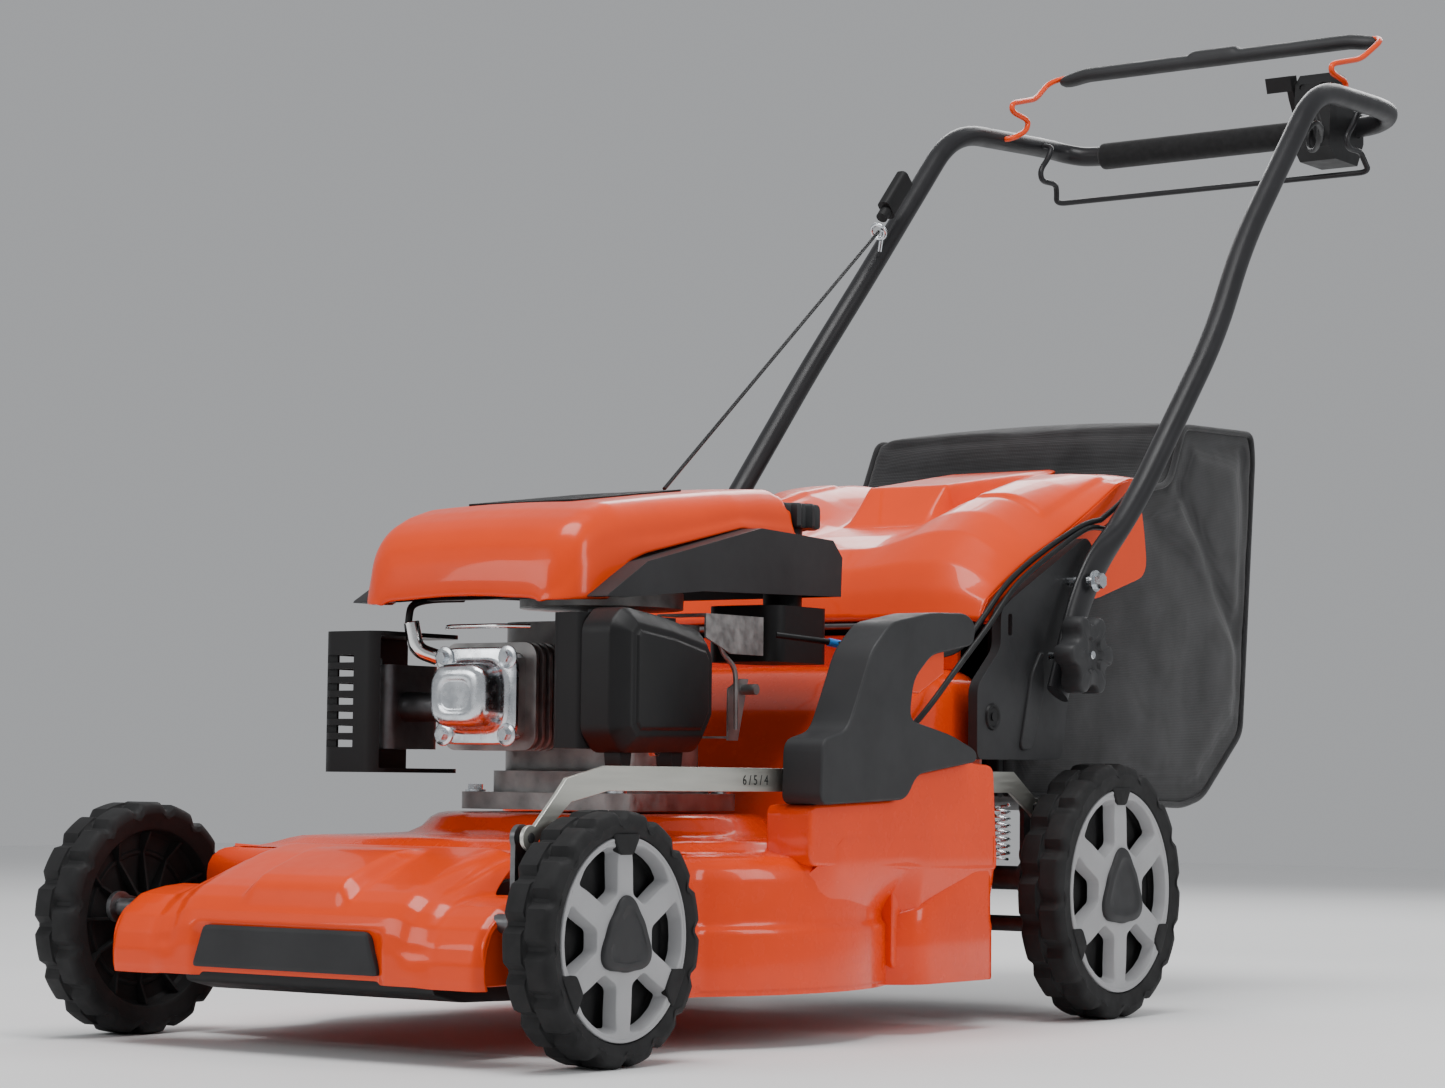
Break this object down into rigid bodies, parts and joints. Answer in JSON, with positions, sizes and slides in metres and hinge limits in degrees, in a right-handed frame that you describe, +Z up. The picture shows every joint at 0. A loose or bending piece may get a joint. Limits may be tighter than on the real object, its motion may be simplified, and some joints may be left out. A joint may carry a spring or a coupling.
{
  "type": "push lawn mower",
  "caption": "Self-propelled walk-behind petrol lawn mower with an orange deck, folding tube handle, rear flap and black grass bag.",
  "frame": {"origin": "on the ground, under the middle of the machine's length and width", "axes": "+X to the operator's left, -Y is the front, +Y the handle end, +Z up"},
  "size_m": [0.6156, 1.752, 1.173],
  "materials": {
    "orange_paint": "gloss orange powder coat",
    "orange_plastic": "gloss orange moulding",
    "charcoal_plastic": "fine-grained dark grey moulding",
    "black_plastic": "matt black moulding",
    "black_tube": "satin black powder coat",
    "link_steel": "plain zinc plated flat steel",
    "zinc": "bright zinc plate",
    "cast_alloy": "rough die cast aluminium",
    "dark_steel": "oiled dark steel",
    "tyre_rubber": "matt black tread",
    "wheel_grey": "light grey moulding",
    "foam_grip": "soft black sleeve",
    "cable_black": "black cable jacket",
    "bag_fabric": "black woven polyester",
    "orange_wire": "orange coated wire"
  },
  "bodies": {
    "deck": {"deck_shell": "orange_paint", "front_shroud": "orange_plastic", "bumper_panel": "charcoal_plastic", "side_bracket_left": "charcoal_plastic", "side_bracket_right": "charcoal_plastic", "lift_grip": "charcoal_plastic", "lift_spring": "zinc", "gearbox": "cast_alloy", "drive_belt": "cable_black", "crankcase": "cast_alloy", "cylinder_head": "cast_alloy", "valve_cover": "zinc", "engine_bolts": "zinc", "spark_plug_lead": "cable_black", "muffler": "dark_steel", "muffler_guard": "black_plastic", "air_filter_box": "black_plastic", "air_filter_cover": "black_plastic", "carburetor": "cast_alloy", "fuel_tank": "black_plastic", "blower_housing": "charcoal_plastic", "engine_cover": "orange_plastic", "cover_grille": "black_plastic", "cables_lower": "cable_black", "starter_rope": "cable_black"},
    "front_axle": {"front_axle": "dark_steel"},
    "rear_axle": {"rear_axle": "dark_steel"},
    "link_bar": {"link_bar": "link_steel"},
    "front_wheel_left": {"front_wheel_left": "tyre_rubber", "front_wheel_cover_left": "wheel_grey"},
    "front_wheel_right": {"front_wheel_right": "tyre_rubber", "front_wheel_cover_right": "wheel_grey"},
    "rear_wheel_left": {"rear_wheel_left": "tyre_rubber", "rear_wheel_cover_left": "wheel_grey"},
    "rear_wheel_right": {"rear_wheel_right": "tyre_rubber", "rear_wheel_cover_right": "wheel_grey"},
    "drive_shaft": {"drive_shaft": "dark_steel"},
    "rotor": {"crankshaft": "dark_steel", "flywheel": "cast_alloy", "blade_adapter": "dark_steel", "blade": "dark_steel"},
    "gearbox_pulley": {"gearbox_pulley": "dark_steel"},
    "handle": {"handle_tube": "black_tube", "grip_sleeve": "foam_grip", "handle_hardware": "zinc", "control_housing": "black_plastic", "cables_upper": "cable_black"},
    "knob_left": {"knob_left": "charcoal_plastic"},
    "knob_right": {"knob_right": "charcoal_plastic"},
    "throttle_lever": {"throttle_lever": "black_plastic"},
    "ops_bail": {"ops_bail": "orange_wire", "bail_grip": "charcoal_plastic"},
    "drive_bail": {"drive_bail": "black_tube"},
    "latch_button": {"latch_button": "orange_plastic"},
    "flap": {"flap": "orange_plastic"},
    "bag": {"bag_frame": "charcoal_plastic", "grass_bag": "bag_fabric"},
    "fuel_cap": {"fuel_cap": "charcoal_plastic"},
    "oil_dipstick": {"oil_dipstick": "charcoal_plastic"},
    "starter_grip": {"starter_grip": "black_plastic"}
  },
  "joints": [
    {"name": "height_adjust", "type": "hinge", "parent": "deck", "child": "front_axle", "pos_m": [0, -0.831, 0.117], "axis": [1, 0, 0], "range_deg": [-22, 31], "deforming": ["lift_spring"]},
    {"name": "rear_height", "type": "hinge", "parent": "deck", "child": "rear_axle", "pos_m": [0, -0.023, 0.14], "axis": [1, 0, 0], "range_deg": [-22.5, 31.5]},
    {"name": "link_bar_swing", "type": "hinge", "parent": "front_axle", "child": "link_bar", "pos_m": [0.238, -0.831, 0.187], "axis": [1, 0, 0], "range_deg": [-31.5, 22.5]},
    {"name": "front_wheel_left_spin", "type": "hinge", "parent": "front_axle", "child": "front_wheel_left", "pos_m": [0.268, -0.771, 0.105], "axis": [1, 0, 0], "continuous": true},
    {"name": "front_wheel_right_spin", "type": "hinge", "parent": "front_axle", "child": "front_wheel_right", "pos_m": [-0.268, -0.771, 0.105], "axis": [1, 0, 0], "continuous": true},
    {"name": "rear_wheel_left_spin", "type": "hinge", "parent": "rear_axle", "child": "rear_wheel_left", "pos_m": [0.28, 0.037, 0.128], "axis": [1, 0, 0], "continuous": true},
    {"name": "rear_wheel_right_spin", "type": "hinge", "parent": "rear_axle", "child": "rear_wheel_right", "pos_m": [-0.28, 0.037, 0.128], "axis": [1, 0, 0], "continuous": true},
    {"name": "drive_shaft_spin", "type": "hinge", "parent": "rear_axle", "child": "drive_shaft", "pos_m": [0, -0.023, 0.14], "axis": [1, 0, 0], "continuous": true},
    {"name": "rotor_spin", "type": "hinge", "parent": "deck", "child": "rotor", "pos_m": [0, -0.431, 0.064], "axis": [0, 0, 1], "continuous": true},
    {"name": "gearbox_pulley_spin", "type": "hinge", "parent": "deck", "child": "gearbox_pulley", "pos_m": [0, -0.023, 0.181], "axis": [0, 0, 1], "continuous": true},
    {"name": "handle_fold", "type": "hinge", "parent": "deck", "child": "handle", "pos_m": [0, 0.029, 0.441], "axis": [1, 0, 0], "range_deg": [0, 130], "deforming": ["cables_lower", "starter_rope"]},
    {"name": "knob_left_turn", "type": "hinge", "parent": "handle", "child": "knob_left", "pos_m": [0.288, -0.014, 0.364], "axis": [1, 0, 0], "range_deg": [0, 360]},
    {"name": "knob_right_turn", "type": "hinge", "parent": "handle", "child": "knob_right", "pos_m": [-0.288, -0.014, 0.364], "axis": [-1, 0, 0], "range_deg": [0, 360]},
    {"name": "ops_bail_pull", "type": "hinge", "parent": "handle", "child": "ops_bail", "pos_m": [0, 0.701, 1.055], "axis": [1, 0, 0], "range_deg": [-26, 0], "stiffness_Nm_per_rad": 4, "springref_deg": 22.92},
    {"name": "drive_bail_pull", "type": "hinge", "parent": "handle", "child": "drive_bail", "pos_m": [0, 0.789, 1.059], "axis": [1, 0, 0], "range_deg": [0, 20], "stiffness_Nm_per_rad": 2, "springref_deg": -17.19},
    {"name": "throttle_lever_turn", "type": "hinge", "parent": "handle", "child": "throttle_lever", "pos_m": [0.128, 0.815, 1.056], "axis": [1, 0, 0], "range_deg": [-15, 40]},
    {"name": "starter_pull", "type": "slide", "parent": "handle", "child": "starter_grip", "axis": [0, 0.6822, 0.7312], "range_m": [0, 0.45], "stiffness_N_per_m": 20, "springref_m": -0.1},
    {"name": "latch_press", "type": "slide", "parent": "deck", "child": "latch_button", "axis": [0, 0, 1], "range_m": [0, 0.008], "stiffness_N_per_m": 400, "springref_m": -0.004},
    {"name": "flap_open", "type": "hinge", "parent": "deck", "child": "flap", "pos_m": [0, -0.119, 0.392], "axis": [1, 0, 0], "range_deg": [0, 70]},
    {"name": "bag_pull_off", "type": "slide", "parent": "deck", "child": "bag", "axis": [0, 1, 0], "range_m": [0, 0.45]},
    {"name": "fuel_cap_turn", "type": "hinge", "parent": "deck", "child": "fuel_cap", "pos_m": [0.096, -0.267, 0.49], "axis": [0, 0, 1], "range_deg": [0, 90]},
    {"name": "oil_dipstick_turn", "type": "hinge", "parent": "deck", "child": "oil_dipstick", "pos_m": [-0.05, -0.377, 0.386], "axis": [0, 0, 1], "range_deg": [0, 90]}
  ],
  "couplings": [
    {"joint": "rear_height", "follows": "height_adjust", "ratio": 1},
    {"joint": "link_bar_swing", "follows": "height_adjust", "ratio": -1},
    {"joint": "rear_wheel_right_spin", "follows": "rear_wheel_left_spin", "ratio": 1},
    {"joint": "drive_shaft_spin", "follows": "rear_wheel_left_spin", "ratio": 5},
    {"joint": "gearbox_pulley_spin", "follows": "rotor_spin", "ratio": 0.66667}
  ]
}
